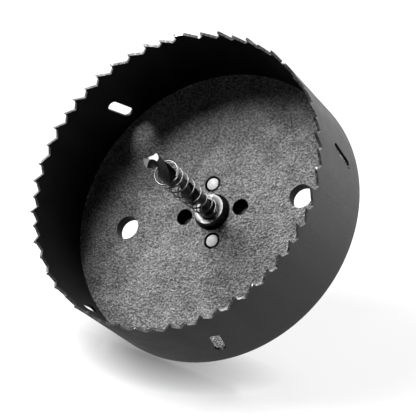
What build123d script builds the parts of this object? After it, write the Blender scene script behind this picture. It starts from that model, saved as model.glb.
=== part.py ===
from build123d import *
import os
from math import acos, atan2, cos, degrees, pi, radians, sin, tan

# Lengths are in millimetres and angles in degrees. Every piece is drawn about the tool's own axis:
# +Z runs from the shank to the drill's point, and z = 0 is the inside face of the cup's back plate.

# Cup
CUP_R = 75.5
BAND_T = 1.3
CUP_DEPTH = 46.3
PLATE_T = 5.7

# Teeth: a strip with a seven-tooth pitch pattern, its two ends butt-welded behind one wide tooth
PITCH_PATTERN = (6.13, 6.63, 7.22, 7.75, 6.95, 6.45, 5.87)
SET_PATTERN = (-1, 1, -1, 0, 1, -1, 1)
TEETH = 53
WELD_ANGLE = 118.3
TOOTH_H = 5.3
FACE_H = 2.7
GULLET_W = 3.0
TIP_OVERCUT = 0.1
WELD_LAND = 5.0
TOOTH_SET = 0.5

# Pry slots through the band
SLOT_ANGLES = (33.1, 153.7, 245.2, 305.2)
SLOT_W = 5.2
SLOT_L = 17.4
SLOT_Z = 15.6
SLOT_SLANT = 14.0

# Holes in the back plate
HOLE_ANGLE = 26.3
PIN_PCD = 30.4
PIN_HOLES = 4
PIN_HOLE_D = 8.5
VENT_PCD = 94.6
VENT_HOLES = 2
VENT_D = 12.2
BORE_SINK = 1.5

# Arbor: nose and thread, boss, hexagonal shank
THREAD_D = 15.875
NOSE_H = 4.2
NOSE_CHAMFER = 0.2
FLATS_W = 14.3
BOSS_D = 22.0
BOSS_L = 14.0
SHANK_AF = 11.1
SHANK_L = 36.5
SHANK_END_R = 6.0

# Drive plate with its two pins, and the lock nut behind it
DRIVE_D = 42.0
DRIVE_T = 7.0
DRIVE_TRAVEL = 7.0
PIN_D = 6.35
NUT_AF = 24.0
NUT_T = 9.5
NUT_CHAMFER = 1.6
NUT_CHAMFER_ANGLE = 30.0

# Pilot drill and the screw that holds it
DRILL_D = 7.94
DRILL_TIP = 66.5
DRILL_TAIL = 44.0
POINT_ANGLE = 118.0
FLUTE_START = 2.0
FLUTE_R = 2.75
FLUTE_OFFSET = 3.45
FLUTE_LEAD = 46.0
FLUTE_CHORDS = 8
FLUTE_RUNS = 3
CUTTER_MOUTH = 1.15
CUTTER_BACK = 1.6
DRILL_FLAT_DEPTH = 0.6
DRILL_FLAT_L = 10.0
SCREW_D = 6.0
SCREW_SINK = 0.6
SCREW_KEY_AF = 3.0
SCREW_KEY_DEPTH = 3.0

# Ejector spring, wound left-handed round the drill and flaring towards the teeth
WIRE_D = 0.8
SPRING_END = 50.0
SPRING_END_R = 6.1
SPRING_TURNS = 9
CLOSED_TURNS = 0.8
PITCH_EASE = 0.5
COIL_STEPS = 12
WIRE_SIDES = 5

# Clearances
THREAD_FIT = 0.05
SLIDE_FIT = 0.10
DRILL_FIT = 0.05
SPRING_FIT = 0.25
SEAT_GAP = 0.05
BORE_SPARE = 2.0
TRAVEL_SPARE = 0.2

# Stations behind the plate's inside face
THREAD_END = PLATE_T + DRIVE_T + NUT_T + 2 * SEAT_GAP + DRIVE_TRAVEL + TRAVEL_SPARE
SCREW_BACK = THREAD_END + BOSS_L / 2
BOSS_BACK = THREAD_END + BOSS_L
SHANK_END = BOSS_BACK + SHANK_L


def ring_profile(*points):
    """Turned solid whose half section has these (radius, z) corners."""
    return revolve(Plane.XZ * make_face(Polyline(*points, close=True)), Axis.Z)


def around(angle):
    """Turn about the tool's axis."""
    return Rot(Z=angle)


def wall_plane(angle):
    """Plane across the radius at this angle: its x runs round the cup, its y along the tool's axis."""
    a = radians(angle)
    return Plane((0, 0, 0), x_dir=(-sin(a), cos(a), 0), z_dir=(cos(a), sin(a), 0))


def gullet_angles():
    """Angle of each gullet's floor, starting at the weld, and the start again after one turn."""
    angles = [WELD_ANGLE]
    for k in range(TEETH - 1):
        angles.append(angles[-1] + PITCH_PATTERN[k % len(PITCH_PATTERN)])
    return angles + [WELD_ANGLE + 360]


def gullet_cutter(pitch, land):
    """Space between one tooth's cutting face and the next tooth's tip, which is sharp below no land."""
    mid_r = CUP_R - BAND_T / 2
    width = radians(pitch) * mid_r
    over = CUP_DEPTH + TOOTH_H
    floor = CUP_DEPTH - TOOTH_H
    face_foot = (-GULLET_W, CUP_DEPTH - FACE_H)
    lowest = (0, floor)
    back_top = (width - GULLET_W - land, CUP_DEPTH)
    outline = [(-GULLET_W, over), face_foot, lowest, back_top, (back_top[0], over)]
    gap = make_face(Polyline(*outline, close=True))
    return extrude(wall_plane(0).offset(CUP_R - 3 * BAND_T) * gap, 5 * BAND_T)


def set_sector(pitch, lean):
    """One tooth's length of band above the gullets' floors, leaning out, in or not at all."""
    bend = CUP_DEPTH - TOOTH_H
    inner, outer = CUP_R - BAND_T, CUP_R
    shift = lean * TOOTH_SET
    section = [(inner, bend), (outer, bend), (outer + shift, CUP_DEPTH), (inner + shift, CUP_DEPTH)]
    return revolve(Plane.XZ * make_face(Polyline(*section, close=True)), Axis.Z, pitch)


def slot_cutter():
    """Slanted obround that a screwdriver goes through to pry out the plug."""
    outline = Pos(0, SLOT_Z) * Rot(Z=90 - SLOT_SLANT) * SlotOverall(SLOT_L, SLOT_W)
    return extrude(wall_plane(0).offset(CUP_R - 3 * BAND_T) * outline, 5 * BAND_T)


def tooth_band():
    """Strip rolled into a ring, with its teeth cut and set alternately out and in."""
    bend = CUP_DEPTH - TOOTH_H
    inner = CUP_R - BAND_T
    band = ring_profile((inner, SEAT_GAP), (CUP_R, SEAT_GAP), (CUP_R, bend), (inner, bend))
    angles = gullet_angles()
    sectors, cutters = [], []
    for k in range(TEETH):
        pitch = angles[k + 1] - angles[k]
        at_weld = k == TEETH - 1
        lean = 0 if at_weld else SET_PATTERN[k % len(SET_PATTERN)]
        sectors.append(around(angles[k]) * set_sector(pitch, lean))
        cutters.append(around(angles[k]) * gullet_cutter(pitch, WELD_LAND if at_weld else -TIP_OVERCUT))
    band = band.fuse(*sectors)
    slots = [around(a) * slot_cutter() for a in SLOT_ANGLES]
    return band.cut(*cutters, *slots)


def plate_holes(pcd, count, diameter, first_angle):
    """Through holes on a circle round the back plate's centre."""
    spots = [around(first_angle + 360 * k / count) * Pos(pcd / 2, 0, -PLATE_T / 2) for k in range(count)]
    return [spot * Cylinder(diameter / 2, 2 * PLATE_T) for spot in spots]


def back_plate():
    """Disc that the band stands on and is welded to, tapped and countersunk for the arbor in the middle."""
    bore_r = THREAD_D / 2 + THREAD_FIT
    plate = ring_profile(
        (bore_r, -PLATE_T),
        (CUP_R, -PLATE_T),
        (CUP_R, 0),
        (bore_r + BORE_SINK, 0),
        (bore_r, -BORE_SINK),
    )
    pins = plate_holes(PIN_PCD, PIN_HOLES, PIN_HOLE_D, HOLE_ANGLE)
    vents = plate_holes(VENT_PCD, VENT_HOLES, VENT_D, HOLE_ANGLE)
    return plate.cut(*pins, *vents)


def corner_radius(across_flats):
    """Distance from a hexagon's centre to its corners."""
    return across_flats / 2 / cos(radians(30))


def hexagon(across_flats, bottom, top):
    """Hexagonal bar with a flat facing the tool's -Y side."""
    outline = RegularPolygon(across_flats / 2, 6, major_radius=False)
    return extrude(Pos(0, 0, bottom) * outline, top - bottom)


def coned_end(bar, across_flats, end_r, cone_h, bottom, top):
    """Bar with a cone turned on its lower end, down to this radius at the end face."""
    wide = corner_radius(across_flats)
    cover = ring_profile((0, bottom), (end_r, bottom), (wide, bottom + cone_h), (wide, top), (0, top))
    return bar & cover


def arbor_body():
    """Nose, threaded spindle with two flats, boss and hexagonal shank, turned from one bar."""
    thread_r = THREAD_D / 2
    boss_r = BOSS_D / 2
    spindle = ring_profile(
        (0, -BOSS_BACK),
        (boss_r, -BOSS_BACK),
        (boss_r, -THREAD_END),
        (thread_r, -THREAD_END),
        (thread_r, NOSE_H - NOSE_CHAMFER),
        (thread_r - NOSE_CHAMFER, NOSE_H),
        (0, NOSE_H),
    )
    slab_l = NOSE_H + THREAD_END
    slab = Box(THREAD_D, THREAD_D, slab_l, align=(Align.MIN, Align.CENTER, Align.MAX))
    flats = [around(HOLE_ANGLE + side) * Pos(FLATS_W / 2, 0, NOSE_H) * slab for side in (90, 270)]
    shank = hexagon(SHANK_AF, -SHANK_END, -BOSS_BACK)
    end_cone = corner_radius(SHANK_AF) - SHANK_END_R
    shank = coned_end(shank, SHANK_AF, SHANK_END_R, end_cone, -SHANK_END, -BOSS_BACK)
    bore_l = NOSE_H + DRILL_TAIL + BORE_SPARE
    bore = Cylinder(DRILL_D / 2 + DRILL_FIT, bore_l, align=(Align.CENTER, Align.CENTER, Align.MAX))
    cross = Cylinder(SCREW_D / 2 + THREAD_FIT, BOSS_D, align=(Align.CENTER, Align.CENTER, Align.MIN))
    return (spindle + shank).cut(*flats, Pos(0, 0, NOSE_H) * bore, screw_seat() * cross)


def screw_seat():
    """Axis of the set screw, pointing out through the side of the boss."""
    return Pos(0, 0, -SCREW_BACK) * around(HOLE_ANGLE) * Rot(Y=90)


def set_screw():
    """Socket screw in the side of the boss, seated on the flat of the pilot drill."""
    inner = DRILL_D / 2 - DRILL_FLAT_DEPTH + SEAT_GAP
    outer = BOSS_D / 2 - SCREW_SINK
    body = Pos(0, 0, inner) * Cylinder(
        SCREW_D / 2, outer - inner, align=(Align.CENTER, Align.CENTER, Align.MIN)
    )
    key = RegularPolygon(SCREW_KEY_AF / 2, 6, major_radius=False)
    socket = extrude(Pos(0, 0, outer - SCREW_KEY_DEPTH) * key, SCREW_KEY_DEPTH)
    return screw_seat() * (body - socket)


def drive_plate():
    """Round collar that slides on the spindle's flats and carries the drive pins."""
    front = -PLATE_T - SEAT_GAP
    back = front - DRIVE_T
    disc = ring_profile((0, back), (DRIVE_D / 2, back), (DRIVE_D / 2, front), (0, front))
    bore = Circle(THREAD_D / 2 + SLIDE_FIT) & Rectangle(FLATS_W + 2 * SLIDE_FIT, THREAD_D * 2)
    through = extrude(Pos(0, 0, back) * around(HOLE_ANGLE + 90) * bore, DRIVE_T)
    pin_seats = [spot * Cylinder(PIN_D / 2, 4 * DRIVE_T) for spot in pin_spots()]
    return disc.cut(through, *pin_seats)


def pin_spots():
    """Axes of the two drive pins, in opposite holes of the back plate."""
    return [around(HOLE_ANGLE + side) * Pos(PIN_PCD / 2, 0) for side in (90, 270)]


def drive_pins():
    """Two dowels pressed into the drive plate, their ends flush with the cup's inside."""
    back = -PLATE_T - SEAT_GAP - DRIVE_T
    pin = Pos(0, 0, back) * Cylinder(PIN_D / 2, -back, align=(Align.CENTER, Align.CENTER, Align.MIN))
    return Compound([spot * pin for spot in pin_spots()])


def lock_nut():
    """Hexagonal nut that holds the drive plate against the cup."""
    front = -PLATE_T - DRIVE_T - 2 * SEAT_GAP
    back = front - NUT_T
    face_r = corner_radius(NUT_AF) - NUT_CHAMFER
    cone_h = NUT_CHAMFER * tan(radians(NUT_CHAMFER_ANGLE))
    nut = coned_end(hexagon(NUT_AF, back, front), NUT_AF, face_r, cone_h, back, front)
    return nut - Pos(0, 0, back) * Cylinder(THREAD_D / 2 + THREAD_FIT, 2 * NUT_T)


def flute_cutter(run, turn):
    """Twisted bar, many-sided in section, that takes one flute out of a run of the drill."""
    r = DRILL_D / 2
    mouth = CUTTER_MOUTH * r
    edge = acos((mouth**2 + FLUTE_OFFSET**2 - FLUTE_R**2) / (2 * mouth * FLUTE_OFFSET))
    reach = atan2(mouth * sin(edge), mouth * cos(edge) - FLUTE_OFFSET)
    floor = []
    for k in range(FLUTE_CHORDS + 1):
        a = 2 * pi - reach - (2 * pi - 2 * reach) * k / FLUTE_CHORDS
        floor.append((FLUTE_OFFSET + FLUTE_R * cos(a), FLUTE_R * sin(a)))
    back = CUTTER_BACK * r
    corners = [(back, floor[0][1]), *floor, (back, floor[-1][1])]
    outline = make_face(Polyline(*corners, close=True)).face().outer_wire()
    return Solid.extrude_linear_with_rotation(outline, (0, 0, 0), (0, 0, run), turn)


def fluted_bar():
    """Round bar with two right-hand flutes, cut in runs of under half a turn joined end to end."""
    run = (DRILL_TIP - FLUTE_START) / FLUTE_RUNS
    turn = 360 * run / FLUTE_LEAD
    cutter = flute_cutter(run, turn)
    piece = Solid.make_cylinder(DRILL_D / 2, run).cut(cutter).cut(around(180) * cutter)
    runs = [Pos(0, 0, FLUTE_START + k * run) * around(k * turn) * piece for k in range(FLUTE_RUNS)]
    bar = runs[0]
    for more in runs[1:]:
        bar = bar + more
    return bar


def pilot_drill():
    """Twist drill: a plain shank with a flat for its screw, two flutes and a conical point."""
    r = DRILL_D / 2
    slope = tan(radians(POINT_ANGLE / 2))
    cone_r = 1.5 * r
    cone_foot = DRILL_TIP - cone_r / slope
    point = ring_profile((0, FLUTE_START), (cone_r, FLUTE_START), (cone_r, cone_foot), (0, DRILL_TIP))
    shank = ring_profile((0, -DRILL_TAIL), (r, -DRILL_TAIL), (r, FLUTE_START), (0, FLUTE_START))
    flat = Pos(r - DRILL_FLAT_DEPTH, 0, -SCREW_BACK) * Box(
        r, DRILL_D, DRILL_FLAT_L, align=(Align.MIN, Align.CENTER, Align.CENTER)
    )
    return ((fluted_bar() & point) + shank) - around(HOLE_ANGLE) * flat


def coil_section(turn):
    """Section of the spring's wire after this many turns from its base."""
    base_r = (DRILL_D + WIRE_D) / 2 + SPRING_FIT
    base_z = NOSE_H + SEAT_GAP + WIRE_D / 2
    free = SPRING_END - WIRE_D / 2 - base_z - 2 * CLOSED_TURNS * WIRE_D
    share = min(max((turn - CLOSED_TURNS) / (SPRING_TURNS - 2 * CLOSED_TURNS), 0), 1)
    eased = share + PITCH_EASE * share * (1 - share) * (2 * share - 1)
    closed = min(turn, CLOSED_TURNS) + max(turn - SPRING_TURNS + CLOSED_TURNS, 0)
    r = base_r + (SPRING_END_R - base_r) * turn / SPRING_TURNS
    z = base_z + closed * WIRE_D + eased * free
    return around(-360 * turn) * Pos(r, 0, z) * (Plane.XZ * RegularPolygon(WIRE_D / 2, WIRE_SIDES))


def ejector_spring():
    """Flared coil of fine wire that pushes the plug out of the cup."""
    steps = SPRING_TURNS * COIL_STEPS
    return loft([coil_section(k / COIL_STEPS) for k in range(steps + 1)], ruled=True)


def resting_tilt():
    """Lean of the axis from level when the cup's back rim and the shank's end share the floor."""
    rim = (CUP_R, -PLATE_T)
    heel = (SHANK_AF / 2, -SHANK_END)
    return degrees(atan2(rim[0] - heel[0], rim[1] - heel[1]))


def main():
    pieces = {
        "tooth_band": tooth_band(),
        "back_plate": back_plate(),
        "arbor_body": arbor_body(),
        "set_screw": set_screw(),
        "drive_plate": drive_plate(),
        "drive_pins": drive_pins(),
        "lock_nut": lock_nut(),
        "pilot_drill": pilot_drill(),
        "ejector_spring": ejector_spring(),
    }
    lean = Rot(X=90 - resting_tilt())
    lying = {name: lean * piece for name, piece in pieces.items()}
    box = Compound(list(lying.values())).bounding_box()
    centre = box.center()
    ground = Pos(-centre.X, -centre.Y, -box.min.Z)
    os.makedirs("parts", exist_ok=True)
    for name, piece in lying.items():
        export_step(ground * piece, f"parts/{name}.step")
    print("tilt of the axis", round(resting_tilt(), 3))
    print("tool's zero in the part's frame", -centre.X, -centre.Y, -box.min.Z)


main()
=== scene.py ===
from math import acos, atan2, cos, hypot, pi, radians, sin

import bmesh
import bpy
from mathutils import Matrix, Vector


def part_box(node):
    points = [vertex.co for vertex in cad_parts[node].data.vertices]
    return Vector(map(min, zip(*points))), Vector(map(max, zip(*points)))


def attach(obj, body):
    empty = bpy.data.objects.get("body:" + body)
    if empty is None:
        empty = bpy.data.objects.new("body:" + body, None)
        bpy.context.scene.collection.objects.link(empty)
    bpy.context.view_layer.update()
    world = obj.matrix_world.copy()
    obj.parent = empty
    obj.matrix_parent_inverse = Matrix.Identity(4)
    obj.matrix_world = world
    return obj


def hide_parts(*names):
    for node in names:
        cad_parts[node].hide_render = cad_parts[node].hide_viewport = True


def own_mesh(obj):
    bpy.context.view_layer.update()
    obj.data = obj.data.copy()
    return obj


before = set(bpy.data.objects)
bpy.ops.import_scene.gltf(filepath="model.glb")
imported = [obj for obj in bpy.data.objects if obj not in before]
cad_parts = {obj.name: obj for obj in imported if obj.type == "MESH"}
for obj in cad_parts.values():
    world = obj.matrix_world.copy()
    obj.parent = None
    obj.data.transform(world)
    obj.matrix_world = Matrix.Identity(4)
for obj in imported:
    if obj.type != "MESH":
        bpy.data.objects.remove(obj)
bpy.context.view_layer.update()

# The tool lies on the back plate's rim and the end of its shank, so its axis leans. Every piece is drawn
# about that axis: x across, y up the slope and z from the plate's inside face to the drill's point.
cup_r, plate_t, plate_box = 0.0755, 0.0057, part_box("back_plate")
shank_flat_r, shank_end = 0.00555, 0.080
lean = atan2(cup_r - shank_flat_r, shank_end - plate_t)
axis = Vector((0, -cos(lean), sin(lean)))
upslope = Vector((0, sin(lean), cos(lean)))
across = Vector((1, 0, 0))
zero = (plate_box[0] + plate_box[1]) / 2 + axis * plate_t / 2
tool = Matrix.Translation(zero) @ Matrix((across, upslope, axis)).transposed().to_4x4()

# Camera where the photograph was taken from, well back with a long lens. Its place and its line of sight
# were found by fitting the cup and the holes of its plate to the photograph.
standpoint = zero + Vector((0.457928, -0.610709, 0.362675))
sight = Vector((-0.544434, 0.721967, -0.427032))
camera = bpy.data.objects.new("photo_camera", bpy.data.cameras.new("photo_camera"))
camera.data.lens = 149.14
camera.data.sensor_width = 36
camera.location = standpoint
camera.rotation_euler = sight.to_track_quat("-Z", "Y").to_euler()
camera.data.clip_start, camera.data.clip_end = 0.05, 20
bpy.context.scene.collection.objects.link(camera)
bpy.context.scene.camera = camera
bpy.context.scene.view_settings.view_transform = "Standard"

# Studio: a white surround that the camera sees. Reflections see it white behind the object and dark on the
# camera's side, as in a dim room with a lit backdrop, and it lights the object only a little.
fill_light, dim_side, lit_side = 0.006, 0.12, 1.0
world = bpy.data.worlds.new("studio")
world.use_nodes = True
bpy.context.scene.world = world
world.node_tree.nodes.clear()


def add(material, kind, inputs, **settings):
    """One node of a material or world, each input a value or another node's output."""
    node = material.node_tree.nodes.new(kind)
    for name, value in settings.items():
        setattr(node, name, value)
    for name, value in inputs.items():
        if isinstance(value, bpy.types.NodeSocket):
            material.node_tree.links.new(value, node.inputs[name])
        else:
            node.inputs[name].default_value = value
    return node


path = add(world, "ShaderNodeLightPath", {})
toward = add(world, "ShaderNodeTexCoord", {})
toward = add(world, "ShaderNodeSeparateXYZ", {"Vector": toward.outputs["Generated"]})
backdrop = add(world, "ShaderNodeMapRange", {"Value": toward.outputs["Y"], "From Min": -0.4, "From Max": 0.5,
                                             "To Min": dim_side, "To Max": lit_side})
seen = add(world, "ShaderNodeMath",
           {0: path.outputs["Is Camera Ray"], 1: path.outputs["Is Transmission Ray"]}, operation="MAXIMUM")
level = add(world, "ShaderNodeMix",
            {"Factor": path.outputs["Is Glossy Ray"], "A": fill_light, "B": backdrop.outputs[0]})
level = add(world, "ShaderNodeMix", {"Factor": seen.outputs[0], "A": level.outputs[0], "B": 1.0})
sky = add(world, "ShaderNodeBackground", {"Color": (1, 1, 1, 1), "Strength": level.outputs[0]})
add(world, "ShaderNodeOutputWorld", {"Surface": sky.outputs[0]})

# Lamps: a soft box high on the left that the cup's far wall shades from part of the plate, a strip behind on
# the right that lights the outer wall's edge, and a broad low panel on the right that stays out of the cup.
for name, offset, size, power in (
    ("soft_box", Vector((-0.625, -0.31, 0.965)), (0.70, 0.70), 36.0),
    ("edge_strip", Vector((0.226, 0.783, 1.02)), (0.6, 0.5), 18.0),
    ("side_panel", Vector((1.0, 0.10, 0.22)), (0.5, 0.4), 5.0),
):
    lamp = bpy.data.objects.new(name, bpy.data.lights.new(name, "AREA"))
    lamp.data.shape = "RECTANGLE"
    lamp.data.size, lamp.data.size_y = size
    lamp.data.energy = power
    lamp.location = zero + offset
    lamp.rotation_euler = (-offset).to_track_quat("-Z", "Y").to_euler()
    bpy.context.scene.collection.objects.link(lamp)

# Floor: a matte white table that keeps the object's soft shadow. Away from the object it grows as white as
# the surround, so that no edge shows between them, and a painted shadow darkens its glow where the object
# comes close.
table_half, white_from, white_by, near_reach, touch_reach = 6.0, 0.22, 0.6, 0.10, 0.020
bm = bmesh.new()
bmesh.ops.create_grid(bm, x_segments=8, y_segments=8, size=table_half)
floor = bpy.data.objects.new("floor", bpy.data.meshes.new("floor"))
bm.to_mesh(floor.data)
bm.free()
bpy.context.scene.collection.objects.link(floor)
table = bpy.data.materials.new("table_white")
table.use_nodes = True
table.node_tree.nodes.clear()
matte = add(table, "ShaderNodeBsdfDiffuse", {"Color": (0.2, 0.2, 0.2, 1)})
soft = add(table, "ShaderNodeBsdfDiffuse", {"Color": (0.22, 0.22, 0.22, 1)})
# Painted shadow: ambient occlusion dims the floor's glow where the object comes close, a contact shadow drawn
# into the floor's colour.
near = add(table, "ShaderNodeAmbientOcclusion", {"Distance": near_reach}, samples=16)
near = add(table, "ShaderNodeMapRange", {"Value": near.outputs["AO"], "To Min": 0.70, "To Max": 0.72})
contact_shadow = add(table, "ShaderNodeAmbientOcclusion", {"Distance": touch_reach}, samples=16)
contact_shadow = add(table, "ShaderNodeMapRange", {"Value": contact_shadow.outputs["AO"], "To Min": 0.16, "To Max": 1.0})
under = add(table, "ShaderNodeMath", {0: near.outputs[0], 1: contact_shadow.outputs[0]}, operation="MULTIPLY")
glow = add(table, "ShaderNodeEmission", {"Color": (1, 1, 1, 1), "Strength": under.outputs[0]})
shaded = add(table, "ShaderNodeAddShader", {0: soft.outputs[0], 1: glow.outputs[0]})
white = add(table, "ShaderNodeEmission", {"Color": (1, 1, 1, 1), "Strength": 1.0})
place = add(table, "ShaderNodeTexCoord", {})
far = add(table, "ShaderNodeVectorMath", {0: place.outputs["Object"]}, operation="LENGTH")
far = add(table, "ShaderNodeMapRange",
          {"Value": far.outputs["Value"], "From Min": white_from, "From Max": white_by})
path = add(table, "ShaderNodeLightPath", {})
looked_at = add(table, "ShaderNodeMixShader",
                {"Fac": far.outputs[0], 1: shaded.outputs[0], 2: white.outputs[0]})
behind = add(table, "ShaderNodeSeparateXYZ", {"Vector": place.outputs["Object"]})
behind = add(table, "ShaderNodeMapRange", {"Value": behind.outputs["Y"], "From Min": -0.15, "From Max": 0.25,
                                           "To Min": dim_side, "To Max": lit_side})
sheen = add(table, "ShaderNodeEmission", {"Color": (1, 1, 1, 1), "Strength": behind.outputs[0]})
mirrored = add(table, "ShaderNodeMixShader",
               {"Fac": path.outputs["Is Glossy Ray"], 1: matte.outputs[0], 2: sheen.outputs[0]})
table_top = add(table, "ShaderNodeMixShader",
                {"Fac": path.outputs["Is Camera Ray"], 1: mirrored.outputs[0], 2: looked_at.outputs[0]})
add(table, "ShaderNodeOutputMaterial", {"Surface": table_top.outputs[0]})
floor.data.materials.append(table)

# Tooth band: a strip of spring steel with punched teeth, rolled and welded into a ring, then coated satin
# black. The coat is grainier outside than in, and it is worn through on the cut faces of the teeth. Inside
# the cup the coat is drawn far darker and less shiny, which is painted shade. The solid stands a hair off the
# back plate, and here its foot comes down on the plate as the weld holds it.
tooth_root, weld_gap = 0.0405, 0.0001
untool = tool.inverted()


def polar(point):
    """Radius, angle and height of a point about the tool's axis."""
    local = untool @ point
    return hypot(local.x, local.y), atan2(local.y, local.x), local.z


def shader(name, metallic, roughness, specular=0.5):
    """New material with its principled shader and the object's own coordinates."""
    material = bpy.data.materials.new(name)
    material.use_nodes = True
    surface = material.node_tree.nodes["Principled BSDF"]
    surface.inputs["Metallic"].default_value = metallic
    surface.inputs["Roughness"].default_value = roughness
    surface.inputs["Specular IOR Level"].default_value = specular
    return material, surface, add(material, "ShaderNodeTexCoord", {}).outputs["Object"]


def noise(material, coords, size, detail=3.0, roughness=0.55):
    """Noise with features about this many metres across."""
    inputs = {"Vector": coords, "Scale": 1 / size, "Detail": detail, "Roughness": roughness}
    return add(material, "ShaderNodeTexNoise", inputs).outputs["Fac"]


def ramp(material, factor, *stops):
    """Colour ramp through these (place, grey or colour) stops."""
    node = add(material, "ShaderNodeValToRGB", {"Fac": factor})
    while len(node.color_ramp.elements) < len(stops):
        node.color_ramp.elements.new(1.0)
    for element, (spot, tone) in zip(node.color_ramp.elements, stops):
        element.position = spot
        element.color = (tone, tone, tone, 1) if isinstance(tone, (int, float)) else (*tone, 1)
    return node.outputs["Color"]


def relief(material, surface, height, depth, strength=1.0, under=None):
    """Bump of this depth in metres on the shader, over another bump where one is given."""
    inputs = {"Height": height, "Distance": depth, "Strength": strength}
    if under:
        inputs["Normal"] = under
    bump = add(material, "ShaderNodeBump", inputs).outputs["Normal"]
    material.node_tree.links.new(bump, surface.inputs["Normal"])
    return bump


def feed(material, surface, **sockets):
    """Links outputs to the shader's inputs, written with underscores for spaces."""
    for name, output in sockets.items():
        material.node_tree.links.new(output, surface.inputs[name.replace("_", " ")])


def merged(node):
    """Working copy of a CAD node's surface with its loose triangles joined."""
    bm = bmesh.new()
    bm.from_mesh(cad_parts[node].data)
    bmesh.ops.remove_doubles(bm, verts=bm.verts, dist=2e-6)
    bmesh.ops.recalc_face_normals(bm, faces=bm.faces)
    return bm


def piece(bm, name, body, materials, sharp=30.0):
    """Finished object from a working mesh, shaded smooth up to this angle, riding on its body."""
    mesh = bpy.data.meshes.new(name)
    for face in bm.faces:
        face.smooth = True
    bm.to_mesh(mesh)
    bm.free()
    mesh.set_sharp_from_angle(angle=radians(sharp))
    for material in materials:
        mesh.materials.append(material)
    obj = bpy.data.objects.new(name, mesh)
    bpy.context.scene.collection.objects.link(obj)
    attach(obj, body)
    return obj


black, surface, coords = shader("satin_black_coat", 0.0, 0.45)
mottle = noise(black, coords, 0.009, 4)
fine = noise(black, coords, 0.0006, 3, 0.6)
feed(black, surface,
     Base_Color=ramp(black, mottle, (0.3, 0.018), (0.7, 0.03)),
     Roughness=ramp(black, mottle, (0.3, 0.40), (0.7, 0.52)))
relief(black, surface, fine, 0.0003, 0.8)
# Painted shade: the inside of the cup gets the satin black coat drawn about ten times darker and less shiny.
shaded_inner_coat, surface, coords = shader("inner_coat_painted_shade", 0.0, 0.42, 0.22)
mottle = noise(shaded_inner_coat, coords, 0.009, 4)
feed(shaded_inner_coat, surface, Base_Color=ramp(shaded_inner_coat, mottle, (0.3, 0.0015), (0.7, 0.003)))
relief(shaded_inner_coat, surface, noise(shaded_inner_coat, coords, 0.0008, 2), 0.00004, 0.4)
worn, surface, coords = shader("ground_tooth_face", 0.6, 0.4)
scuff = noise(worn, coords, 0.0012, 4, 0.65)
feed(worn, surface,
     Base_Color=ramp(worn, scuff, (0.35, 0.06), (0.65, 0.28)),
     Roughness=ramp(worn, scuff, (0.3, 0.5), (0.7, 0.35)))
relief(worn, surface, scuff, 0.00006, 0.4)
backs, surface, coords = shader("scuffed_tooth_back", 0.85, 0.4)
scuff = noise(backs, coords, 0.0012, 4, 0.65)
feed(backs, surface,
     Base_Color=ramp(backs, scuff, (0.38, 0.04), (0.62, 0.28)),
     Roughness=ramp(backs, scuff, (0.3, 0.5), (0.7, 0.35)))
relief(backs, surface, scuff, 0.00006, 0.4)
finishes = (black, shaded_inner_coat, worn, backs)
bm = merged("tooth_band")
for vert in bm.verts:
    height = polar(vert.co)[2]
    if height < weld_gap:
        vert.co -= axis * height
for face in bm.faces:
    angle, height = polar(face.calc_center_median())[1:]
    outward = (across * cos(angle) + upslope * sin(angle)).dot(face.normal)
    if height > tooth_root and abs(outward) < 0.5:
        clockwise = (across * sin(angle) - upslope * cos(angle)).dot(face.normal)
        face.material_index = finishes.index(backs if clockwise > -0.1 else worn)
    elif outward < 0.5:
        face.material_index = finishes.index(shaded_inner_coat)
band = piece(bm, "band_and_teeth", "saw", finishes)
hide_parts("tooth_band")

# Back plate: a thick steel disc with a coarse, grainy powder coat inside and the wall's satin coat on its
# rim. The sides of its drilled holes are painted near black as shade, the rim's rounded back edge carries a
# painted highlight, and a narrow bead of coat fills the wall's corner.
rim_round, wall_t, bead_r = 0.0009, 0.0013, 0.0007
powder, surface, coords = shader("grainy_powder_coat", 0.0, 0.55, 0.3)
grain = noise(powder, coords, 0.0011, 2, 0.7)
patch = noise(powder, coords, 0.012, 3)
pits = add(powder, "ShaderNodeTexVoronoi", {"Vector": coords, "Scale": 900.0}).outputs["Distance"]
tone = add(powder, "ShaderNodeMix", {"Factor": 0.3, "A": grain, "B": patch}).outputs[0]
feed(powder, surface,
     Base_Color=ramp(powder, tone, (0.37, 0.08), (0.5, 0.22), (0.63, 0.43)),
     Roughness=ramp(powder, grain, (0.35, 0.7), (0.65, 0.5)))
pitted = relief(powder, surface, pits, 0.0002, 0.6)
relief(powder, surface, grain, 0.0034, 1.0, pitted)
# Painted shade: the sides of the plate's holes and its bore are drawn near black.
hole_shade, surface, coords = shader("hole_sides_painted_shade", 0.0, 0.5, 0.12)
feed(hole_shade, surface, Base_Color=ramp(hole_shade, noise(hole_shade, coords, 0.002), (0.3, 0.004), (0.7, 0.01)))
# Painted highlight: a lighter, shinier band on the rim's rounded back edge stands for the light line along
# it.
rim_highlight, surface, coords = shader("rim_edge_painted_highlight", 0.4, 0.45)
feed(rim_highlight, surface, Base_Color=ramp(rim_highlight, noise(rim_highlight, coords, 0.002, 4), (0.35, 0.05), (0.65, 0.16)))
finishes = (powder, hole_shade, black, rim_highlight)


def on_radius(edge, radius):
    """Whether both ends of an edge lie this far from the tool's axis."""
    return all(abs(polar(vert.co)[0] - radius) < 1e-4 for vert in edge.verts)


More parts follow.
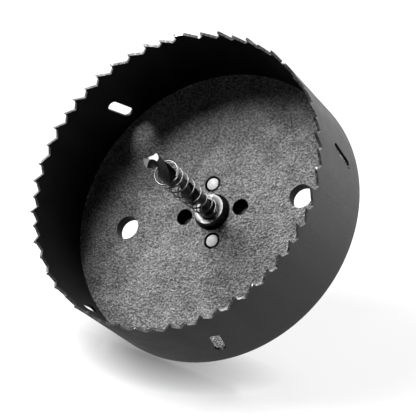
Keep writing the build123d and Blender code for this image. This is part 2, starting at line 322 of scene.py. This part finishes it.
bm = merged("back_plate")
rims = [edge for edge in bm.edges
        if on_radius(edge, cup_r) and all(polar(vert.co)[2] < 1e-4 - plate_t for vert in edge.verts)]
bmesh.ops.bevel(bm, geom=rims, offset=rim_round, segments=3, profile=0.5, material=-1, affect="EDGES")
for face in bm.faces:
    radius, _, height = polar(face.calc_center_median())
    if radius > cup_r - 0.001 and height < -1e-5:
        face.material_index = finishes.index(rim_highlight if -0.5 < face.normal.dot(axis) < -0.1 else black)
    elif abs(face.normal.dot(axis)) < 0.8:
        face.material_index = finishes.index(hole_shade)
corner = cup_r - wall_t
start = [bm.verts.new(tool @ Vector((corner - bead_r, 0, 0)))]
bmesh.ops.spin(bm, geom=start, cent=tool @ Vector((corner - bead_r, 0, bead_r)), axis=upslope,
               angle=-pi / 2, steps=4)
section = [vert for vert in bm.verts if vert.link_edges and not vert.link_faces]
ends = [vert for vert in section if len(vert.link_edges) == 1]
hidden_corner = bm.verts.new(tool @ Vector((corner, 0, 0)))
section.append(hidden_corner)
for end in ends:
    bm.edges.new((end, hidden_corner))
section += list({edge for vert in section for edge in vert.link_edges})
bmesh.ops.spin(bm, geom=section, cent=zero, axis=axis, angle=2 * pi, steps=160, use_merge=True)
bmesh.ops.recalc_face_normals(bm, faces=bm.faces)
plate = piece(bm, "powder_coated_plate", "saw", finishes)
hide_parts("back_plate")

# Arbor: nose, threaded spindle, boss and hexagonal shank turned from one bar, with the thread cut down the
# whole spindle and two flats milled across it below the plate's face. The plain cylinder that stands for the
# thread in the CAD solid comes off, and the ridges, the nose's chamfer and two flat rings take its place.
thread_r, thread_end, nose_h, nose_edge, bore_zone = 0.0079375, 0.0295, 0.0042, 0.0002, 0.0045
pitch, depth, fade, flat_half, flat_angle = 0.0254 / 18, 0.000866, 0.0005, 0.00715, radians(26.3 + 90)
boss_r, boss_round, facets, shift, groove_scale = 0.011, 0.0006, 64, 1 / 128, (60.0, 60.0, 2600.0)


def lathe_marks(material, coords):
    """Noise drawn out round the tool's axis, like the fine grooves that turning leaves."""
    along = add(material, "ShaderNodeMapping", {"Vector": coords, "Rotation": (lean - pi / 2, 0, 0)},
                vector_type="POINT")
    grooves = add(material, "ShaderNodeVectorMath", {0: along.outputs[0], 1: groove_scale},
                  operation="MULTIPLY")
    return add(material, "ShaderNodeTexNoise",
               {"Vector": grooves.outputs[0], "Scale": 1.0, "Detail": 3.0}).outputs["Fac"]


turned, surface, coords = shader("turned_steel", 0.5, 0.5)
marks = lathe_marks(turned, coords)
feed(turned, surface,
     Base_Color=ramp(turned, marks, (0.3, 0.20), (0.7, 0.30)),
     Roughness=ramp(turned, marks, (0.3, 0.45), (0.7, 0.6)))
relief(turned, surface, marks, 0.00003, 0.3)
shaft, surface, coords = shader("turned_shank_steel", 0.8, 0.45)
marks = lathe_marks(shaft, coords)
feed(shaft, surface,
     Base_Color=ramp(shaft, marks, (0.3, 0.24), (0.7, 0.38)),
     Roughness=ramp(shaft, marks, (0.3, 0.40), (0.7, 0.52)))
relief(shaft, surface, marks, 0.00004, 0.5)
# The thread is drawn far darker than the turned steel of the same bar.
dark_thread, surface, coords = shader("dark_thread_steel", 0.8, 0.4)
feed(dark_thread, surface, Base_Color=ramp(dark_thread, noise(dark_thread, coords, 0.002), (0.3, 0.03), (0.7, 0.08)))
finishes = (turned, dark_thread, shaft)


def is_corner(edge):
    """Whether two faces meet at this edge nearly squarely."""
    return edge.is_manifold and edge.calc_face_angle(0) > 1.2


bm = merged("arbor_body")
rims = [edge for edge in bm.edges if is_corner(edge) and on_radius(edge, boss_r)]
bmesh.ops.bevel(bm, geom=rims, offset=boss_round, segments=2, profile=0.5, material=-1, affect="EDGES")
plain = []
for face in bm.faces:
    radius, _, height = polar(face.calc_center_median())
    if radius > bore_zone and height > -thread_end - 1e-5:
        plain.append(face)
bmesh.ops.delete(bm, geom=plain, context="FACES")
# The thread's profile is swept from below the spindle's end to above the nose and cut off square at both. Its
# small shift, a share of a turn, keeps its corners off the cutting planes.
thread = bmesh.new()
profile = []
for turn in range(-2, int((thread_end + nose_h) / pitch) + 2):
    for share, sink in ((0, 0), (1 / 8, 0), (7 / 16, depth), (11 / 16, depth)):
        height = -thread_end + (turn + share + shift) * pitch
        profile.append(thread.verts.new((thread_r - sink, 0, height)))
profile += [thread.edges.new(pair) for pair in zip(profile, profile[1:])]
bmesh.ops.spin(thread, geom=profile, cent=(0, 0, 0), axis=(0, 0, 1), angle=2 * pi, steps=facets,
               dvec=(0, 0, pitch / facets))
bmesh.ops.remove_doubles(thread, verts=thread.verts, dist=2e-6)
for end, facing in ((nose_h - nose_edge, 1), (-thread_end, -1)):
    bmesh.ops.bisect_plane(thread, geom=thread.verts[:] + thread.edges[:] + thread.faces[:],
                           plane_co=(0, 0, end), plane_no=(0, 0, facing), clear_outer=True)
# Below the nose's edge the ridges fade in, and below the plate's face they stop at the two flats.
for vert in thread.verts:
    x, y, z = vert.co
    cut = min((nose_h - nose_edge - z) / fade, 1)
    full = thread_r / hypot(x, y)
    swell = full + (1 - full) * cut
    x, y = x * swell, y * swell
    off_middle = x * cos(flat_angle) + y * sin(flat_angle)
    over = max(abs(off_middle) - flat_half, 0) * (1 if off_middle > 0 else -1) if z < 0 else 0
    vert.co = (x - over * cos(flat_angle), y - over * sin(flat_angle), z)
for face in bm.faces:
    if polar(face.calc_center_median())[2] < -thread_end - 1e-5:
        face.material_index = finishes.index(shaft)
for face in thread.faces:
    face.material_index = finishes.index(dark_thread)
bmesh.ops.transform(thread, matrix=tool, verts=thread.verts)
ridges = bpy.data.meshes.new("thread_ridges")
thread.to_mesh(ridges)
thread.free()
bm.from_mesh(ridges)


def open_ring(height, clear=0.0):
    """Open edges at this height that lie further than this from the tool's axis."""
    return [edge for edge in bm.edges if edge.is_boundary and all(
        abs(polar(vert.co)[2] - height) < 1e-5 and polar(vert.co)[0] > clear for vert in edge.verts)]


def verts_of(geometry):
    """The vertices in what a mesh operator gives back."""
    return [item for item in geometry if isinstance(item, bmesh.types.BMVert)]


chamfer = bmesh.ops.extrude_edge_only(bm, edges=open_ring(nose_h - nose_edge, bore_zone))["geom"]
for vert in verts_of(chamfer):
    angle = polar(vert.co)[1]
    vert.co += (axis - across * cos(angle) - upslope * sin(angle)) * nose_edge
for height in (nose_h, -thread_end):
    bmesh.ops.triangle_fill(bm, edges=open_ring(height), use_beauty=True, normal=axis)
bmesh.ops.recalc_face_normals(bm, faces=bm.faces)
arbor = piece(bm, "arbor_turned", "saw", finishes, 50)
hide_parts("arbor_body")

# Drive plate: a round steel collar behind the cup that slides on the spindle's flats and carries both pins.
# It is turned with broken rims and blued, a soft black that goes slightly brown where hands wear it.
collar_r, collar_round = 0.021, 0.0007
blued, surface, coords = shader("blued_steel", 0.75, 0.4)
cloud = noise(blued, coords, 0.006, 4)
feed(blued, surface,
     Base_Color=ramp(blued, cloud, (0.3, 0.018), (0.7, (0.042, 0.04, 0.038))),
     Roughness=ramp(blued, noise(blued, coords, 0.0009), (0.3, 0.34), (0.7, 0.5)))
relief(blued, surface, noise(blued, coords, 0.0005), 0.00002, 0.3)
bm = merged("drive_plate")
rims = [edge for edge in bm.edges
        if on_radius(edge, collar_r) and abs((edge.verts[0].co - edge.verts[1].co).dot(axis)) < 1e-5]
bmesh.ops.bevel(bm, geom=rims, offset=collar_round, segments=2, profile=0.5, material=-1, affect="EDGES")
collar = piece(bm, "drive_plate_blued", "drive_collar", (blued,))
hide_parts("drive_plate")

# Lock nut: a hexagonal nut that runs on the spindle's thread and holds the drive plate against the cup. It
# is blued like the drive plate, and the CAD solid has its shape already.
nut = piece(merged("lock_nut"), "lock_nut_blued", "nut", (blued,))
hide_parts("lock_nut")

# Set screw: a short socket screw in the boss's side that clamps the drill's shank in the bore. It is blued
# too, and the CAD solid has its shape and its hexagonal socket already.
screw = piece(merged("set_screw"), "set_screw_blued", "saw", (blued,))
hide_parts("set_screw")

# Drive pins: two ground dowels pressed into the drive plate. They are bright on their ends, which show
# flush in the cup's holes with their rims broken.
pin_round = 0.0004
ground, surface, coords = shader("ground_steel", 0.2, 0.6, 0.4)
dust = noise(ground, coords, 0.0016, 4)
feed(ground, surface,
     Base_Color=ramp(ground, dust, (0.3, 0.28), (0.7, 0.36)),
     Roughness=ramp(ground, dust, (0.3, 0.65), (0.7, 0.5)))
bm = merged("drive_pins")
rims = [edge for edge in bm.edges if is_corner(edge) and polar(edge.verts[0].co)[2] > -0.001]
bmesh.ops.bevel(bm, geom=rims, offset=pin_round, segments=2, profile=0.5, material=-1, affect="EDGES")
pins = piece(bm, "drive_pins_ground", "drive_collar", (ground,))
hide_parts("drive_pins")

# Pilot drill: twist drill with two right-hand flutes, black in the flutes and grey on the lands, each land
# with a narrow margin along its leading edge. The point is ground as two flanks that fall away behind the
# lips, and the flutes run out into a round shank that stands in the arbor's bore.
drill_r, body_r, flute_r, flute_off, lead = 0.00397, 0.00382, 0.00275, 0.00345, 0.046
tip_z, flute_z, tail_z, runout, margin, slices = 0.0665, 0.002, -0.044, 0.006, radians(16), 141
point_h, lip_fall, flank_fall = 0.0024, radians(31), radians(12)
soot, surface, coords = shader("flute_black", 0.7, 0.36)
feed(soot, surface, Base_Color=ramp(soot, noise(soot, coords, 0.0015, 4), (0.3, 0.005), (0.7, 0.02)))
oxide, surface, coords = shader("land_oxide", 0.8, 0.36)
smoke = noise(oxide, coords, 0.0015, 4)
feed(oxide, surface,
     Base_Color=ramp(oxide, smoke, (0.3, 0.03), (0.7, 0.07)),
     Roughness=ramp(oxide, smoke, (0.3, 0.42), (0.7, 0.3)))
flank, surface, coords = shader("ground_flank", 0.9, 0.34)
feed(flank, surface, Base_Color=ramp(flank, noise(flank, coords, 0.0006), (0.3, 0.6), (0.7, 0.8)))
finishes = (soot, oxide, flank)
edge_angle = acos((drill_r**2 + flute_off**2 - flute_r**2) / (2 * drill_r * flute_off))
reach = atan2(drill_r * sin(edge_angle), drill_r * cos(edge_angle) - flute_off)
bm = bmesh.new()
for side in (0, pi):
    heel = Vector((cos(side + edge_angle), sin(side + edge_angle), 0))
    start = bm.verts.new(heel * body_r)
    land = bmesh.ops.spin(bm, geom=[start], cent=(0, 0, 0), axis=(0, 0, 1),
                          angle=pi - 2 * edge_angle - margin, steps=12)
    land_end = verts_of(land["geom_last"])[0]
    margin_start = bm.verts.new(land_end.co * drill_r / body_r)
    bm.edges.new((land_end, margin_start))
    land = bmesh.ops.spin(bm, geom=[margin_start], cent=(0, 0, 0), axis=(0, 0, 1), angle=margin, steps=3)
    lip = verts_of(land["geom_last"])[0]
    hollow = Vector((cos(side + pi), sin(side + pi), 0)) * flute_off
    flute = bmesh.ops.spin(bm, geom=[lip], cent=hollow, axis=(0, 0, 1),
                           angle=-(2 * pi - 2 * reach), steps=14)
    next_heel = bm.verts.new(-heel * body_r)
    bm.edges.new((verts_of(flute["geom_last"])[0], next_heel))
bmesh.ops.remove_doubles(bm, verts=bm.verts, dist=1e-6)
bmesh.ops.translate(bm, verts=bm.verts, vec=(0, 0, flute_z - runout))
climb = tip_z - flute_z + runout
bmesh.ops.rotate(bm, verts=bm.verts, cent=(0, 0, 0), matrix=Matrix.Rotation(-2 * pi * runout / lead, 3, "Z"))
bmesh.ops.spin(bm, geom=bm.verts[:] + bm.edges[:], cent=(0, 0, 0), axis=(0, 0, 1),
               angle=2 * pi * climb / lead, steps=slices, dvec=(0, 0, climb / slices))
for vert in bm.verts:
    x, y, z = vert.co
    cut = min(max((z - flute_z + runout) / runout, 0), 1)
    swell = cut + (1 - cut) * drill_r / hypot(x, y)
    vert.co = (x * swell, y * swell, z)
shoulder = [edge for edge in bm.edges if edge.is_boundary and edge.verts[0].co.z < flute_z - runout + 1e-6]
tail = bmesh.ops.extrude_edge_only(bm, edges=shoulder)["geom"]
bmesh.ops.translate(bm, verts=verts_of(tail), vec=(0, 0, tail_z - flute_z + runout))
bmesh.ops.remove_doubles(bm, verts=bm.verts, dist=2e-6)
bmesh.ops.holes_fill(bm, edges=[edge for edge in bm.edges if edge.is_boundary])
for face in bm.faces:
    x, y, z = face.calc_center_median()
    face.material_index = finishes.index(oxide if hypot(x, y) > body_r - 5e-5 else soot)
bmesh.ops.transform(bm, matrix=tool, verts=bm.verts)
lip_angle = 2 * pi * (tip_z - point_h - flute_z) / lead + pi - edge_angle
for angle in (lip_angle, lip_angle + pi):
    along = Vector((cos(angle) * cos(lip_fall), sin(angle) * cos(lip_fall), -sin(lip_fall)))
    behind = Vector((sin(angle) * cos(flank_fall), -cos(angle) * cos(flank_fall), -sin(flank_fall)))
    point = bmesh.ops.bisect_plane(bm, geom=bm.verts[:] + bm.edges[:] + bm.faces[:],
                                   plane_co=tool @ Vector((0, 0, tip_z)),
                                   plane_no=tool.to_3x3() @ behind.cross(along), clear_outer=True)
    outline = [item for item in point["geom_cut"] if isinstance(item, bmesh.types.BMEdge)]
    for face in bmesh.ops.edgeloop_fill(bm, edges=outline)["faces"]:
        face.material_index = finishes.index(flank)
bmesh.ops.recalc_face_normals(bm, faces=bm.faces)
drill = piece(bm, "twist_drill", "saw", finishes, 40)
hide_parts("pilot_drill")

# Ejector spring: bright wire wound left-handed round the drill, close at both ends and flaring to the front.
# Its last turn sits loose on the nose, and it pushes the round plug out of the cup.
wire_d, turns, closed, ease, per_turn = 0.0008, 9, 0.8, 0.5, 40
base_r, end_r, base_z, end_z = 0.00462, 0.0061, 0.00465, 0.0496
free = end_z - base_z - 2 * closed * wire_d
bright, surface, coords = shader("bright_wire", 0.9, 0.3)
feed(bright, surface, Base_Color=ramp(bright, noise(bright, coords, 0.001), (0.3, 0.10), (0.7, 0.20)))
bm = bmesh.new()
seat = Matrix.Translation((base_r, 0, base_z)) @ Matrix.Rotation(pi / 2, 4, "X")
bmesh.ops.create_circle(bm, cap_ends=True, segments=10, radius=wire_d / 2, matrix=seat)


def wound_to(turn):
    """Height of the wire's middle after this many turns from the seat."""
    share = min(max((turn - closed) / (turns - 2 * closed), 0), 1)
    eased = share + ease * share * (1 - share) * (2 * share - 1)
    return base_z + (min(turn, closed) + max(turn - turns + closed, 0)) * wire_d + eased * free


wire_end = bm.verts[:] + bm.edges[:] + bm.faces[:]
for step in range(turns * per_turn):
    rise = wound_to((step + 1) / per_turn) - wound_to(step / per_turn)
    wire_end = bmesh.ops.spin(bm, geom=wire_end, cent=(0, 0, 0), axis=(0, 0, 1), angle=-2 * pi / per_turn,
                              steps=1, dvec=(0, 0, rise))["geom_last"]
    angle = -2 * pi * (step + 1) / per_turn
    bmesh.ops.translate(bm, verts=verts_of(wire_end),
                        vec=Vector((cos(angle), sin(angle), 0)) * (end_r - base_r) / (turns * per_turn))
bmesh.ops.transform(bm, matrix=tool, verts=bm.verts)
bmesh.ops.recalc_face_normals(bm, faces=bm.faces)
spring = piece(bm, "ejector_spring_wire", "saw", (bright,), 60)
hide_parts("ejector_spring")
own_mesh(spring)
